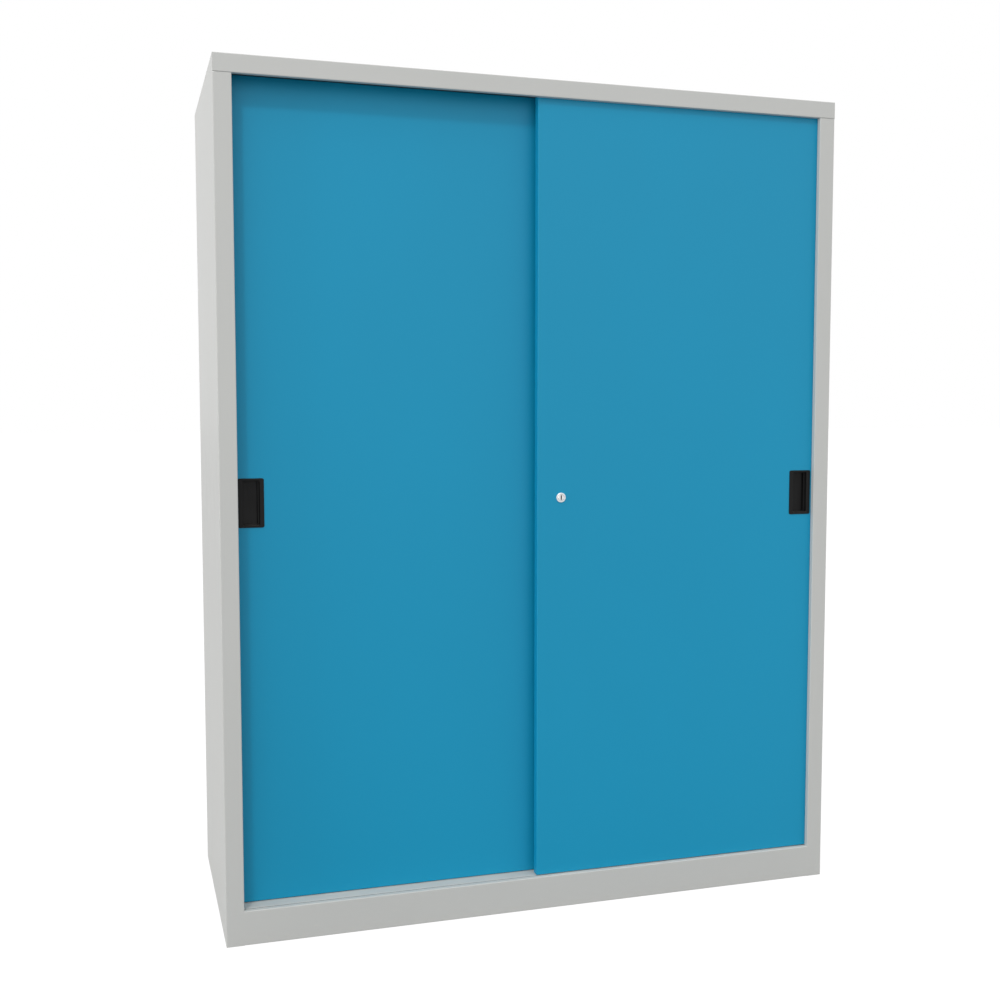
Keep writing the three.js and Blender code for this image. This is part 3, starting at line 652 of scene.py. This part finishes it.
for door in ("front_door", "rear_door"):
    for side in ("left", "right"):
        roller_body = f"{door.split('_')[0]}_roller_{side}"
        turned_part(f"{door}_roller_{side}_wheel", f"{door}_roller_{side}", roller_body, "nylon",
                    ROLLER_PROFILE, steps=48, rounding=0.15 * MM)
        turned_part(f"{door}_axle_{side}_rivet", f"{door}_axle_{side}", door, "zinc_steel",
                    AXLE_PROFILE, steps=32, rounding=0.15 * MM)
        eased_copy(f"{door}_hanger_{side}_plate", f"{door}_hanger_{side}", door, "zinc_steel",
                   radius=0.3 * MM)
        hanger_screws(door, side)

# Small moulded and folded parts, with eased edges
eased_copy("lock_nut_eased", "lock_nut", "front_door", "zinc_steel", radius=0.5 * MM)
eased_copy("floor_guide_eased", "floor_guide", "carcass", "nylon", radius=0.25 * MM)
for side in ("left", "right"):
    eased_copy(f"door_buffer_{side}_eased", f"door_buffer_{side}", "carcass", "rubber", radius=0.6 * MM)


# A dark grey bar in the seam between the plinth's return and the cabinet's floor: painted shade for the
# seam's shadow
BEAD_DEPTH = 5 * MM
BEAD_SET = 0.1 * MM
BEAD_CLEARANCE = 0.1 * MM
BEAD_EDGE = 0.6 * MM


def painted_seam_shade():
    """A dark bar of painted shade that stands just under the floor's surface."""
    plinth_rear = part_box("plinth")[1].y
    left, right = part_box("bottom_panel")
    across = left.y - plinth_rear - 2 * BEAD_CLEARANCE
    height = right.z - BEAD_SET - BEAD_DEPTH / 2
    middle = Vector(((left.x + right.x) / 2, (left.y + plinth_rear) / 2, height))
    bm = bmesh.new()
    bmesh.ops.create_cube(bm, size=1)
    bmesh.ops.scale(bm, vec=(right.x - left.x, across, BEAD_DEPTH), verts=bm.verts)
    bmesh.ops.translate(bm, vec=middle, verts=bm.verts)
    round_edges(bm, BEAD_EDGE)
    finish_piece(bm, "painted_seam_shade", "carcass", "rubber", finish="seam_shade")


painted_seam_shade()


# Light, floor and camera
AIM = Vector((0.0, -0.3, 1.0))
KEY_LAMP = {"direction": (-0.37, -0.568, 0.75), "distance": 12.0, "size": 1.1, "power": 270}
LEFT_LAMP = {"direction": (-0.977, -0.208, -0.052), "distance": 16.0, "size": 3.0, "power": 720}
WORLD_LIGHT = 1.035
WHITE = 1.0
FLOOR_HALF_WIDTH = 60
FLOOR_BOUNCE = (0.36, 0.36, 0.36)
FLOOR_IN_METAL = 0.35
FLOOR_GLOW = 0.93
FLOOR_SHADOW = (0.12, 0.12, 0.12)


def soft_lamp(name, direction, distance, size, power):
    """A round lamp that looks at the middle of the doors from a direction."""
    lamp = bpy.data.lights.new(name, "AREA")
    lamp.shape = "DISK"
    lamp.size = size
    lamp.energy = power
    towards = Vector(direction).normalized()
    lamp_object = bpy.data.objects.new(name, lamp)
    lamp_object.location = AIM + towards * distance
    lamp_object.rotation_euler = (-towards).to_track_quat("-Z", "Y").to_euler()
    bpy.context.scene.collection.objects.link(lamp_object)


soft_lamp("key", **KEY_LAMP)
soft_lamp("left", **LEFT_LAMP)


def seen_by(tree, *rays):
    """1 for the named kinds of ray, 0 for the others."""
    path = tree.nodes.new("ShaderNodeLightPath").outputs
    seen = path[rays[0]]
    for ray in rays[1:]:
        seen = maths(tree, "MAXIMUM", seen, path[ray])
    return seen


def studio_world():
    """Even light, and plain white for what the camera, metal and glass see."""
    world = bpy.data.worlds.new("studio")
    world.use_nodes = True
    tree = world.node_tree
    tree.nodes.clear()
    mix = tree.nodes.new("ShaderNodeMixShader")
    tree.links.new(seen_by(tree, "Is Camera Ray", "Is Glossy Ray", "Is Transmission Ray"), mix.inputs[0])
    for socket, strength in ((mix.inputs[1], WORLD_LIGHT), (mix.inputs[2], WHITE)):
        background = tree.nodes.new("ShaderNodeBackground")
        background.inputs["Color"].default_value = (1, 1, 1, 1)
        background.inputs["Strength"].default_value = strength
        tree.links.new(background.outputs[0], socket)
    output = tree.nodes.new("ShaderNodeOutputWorld")
    tree.links.new(mix.outputs[0], output.inputs["Surface"])
    bpy.context.scene.world = world


def floor_material():
    """Lights as a grey floor, and looks white with a faint shadow."""
    material = bpy.data.materials.new("pale_floor")
    material.use_nodes = True
    tree = material.node_tree
    tree.nodes.clear()
    bounce, shadow = (tree.nodes.new("ShaderNodeBsdfDiffuse") for _ in range(2))
    bounce.inputs["Color"].default_value = (*FLOOR_BOUNCE, 1)
    shadow.inputs["Color"].default_value = (*FLOOR_SHADOW, 1)
    mirrored, glow = (tree.nodes.new("ShaderNodeEmission") for _ in range(2))
    in_metal = maths(tree, "MULTIPLY", seen_by(tree, "Is Glossy Ray"), FLOOR_IN_METAL)
    tree.links.new(in_metal, mirrored.inputs["Strength"])
    glow.inputs["Strength"].default_value = FLOOR_GLOW
    lighting, looks = (tree.nodes.new("ShaderNodeAddShader") for _ in range(2))
    for pair, total in (((bounce, mirrored), lighting), ((shadow, glow), looks)):
        for shader, socket in zip(pair, total.inputs):
            tree.links.new(shader.outputs[0], socket)
    mix = tree.nodes.new("ShaderNodeMixShader")
    tree.links.new(seen_by(tree, "Is Camera Ray", "Is Transmission Ray"), mix.inputs[0])
    tree.links.new(lighting.outputs[0], mix.inputs[1])
    tree.links.new(looks.outputs[0], mix.inputs[2])
    output = tree.nodes.new("ShaderNodeOutputMaterial")
    tree.links.new(mix.outputs[0], output.inputs["Surface"])
    return material


def studio_floor():
    """A wide floor under the cabinet."""
    bm = bmesh.new()
    bmesh.ops.create_grid(bm, x_segments=1, y_segments=1, size=FLOOR_HALF_WIDTH)
    mesh = bpy.data.meshes.new("studio_floor")
    bm.to_mesh(mesh)
    bm.free()
    mesh.materials.append(floor_material())
    floor = bpy.data.objects.new("studio_floor", mesh)
    bpy.context.scene.collection.objects.link(floor)


studio_world()
studio_floor()

# The photograph's camera, as solved from the cabinet's corners
CAMERA_PLACE = (-0.9602, -3.0561, 1.1988)
CAMERA_TILT = 4.215
CAMERA_TURN = 17.078
FOCAL_LENGTH = 44.905
SENSOR_WIDTH = 36
FAR_CLIP = 200

camera = bpy.data.cameras.new("camera")
camera.sensor_width = SENSOR_WIDTH
camera.lens = FOCAL_LENGTH
camera.clip_end = FAR_CLIP
camera_object = bpy.data.objects.new("camera", camera)
camera_object.location = CAMERA_PLACE
camera_object.rotation_euler = (radians(90 - CAMERA_TILT), 0, radians(-CAMERA_TURN))
bpy.context.scene.collection.objects.link(camera_object)
bpy.context.scene.camera = camera_object
bpy.context.scene.view_settings.view_transform = "Standard"
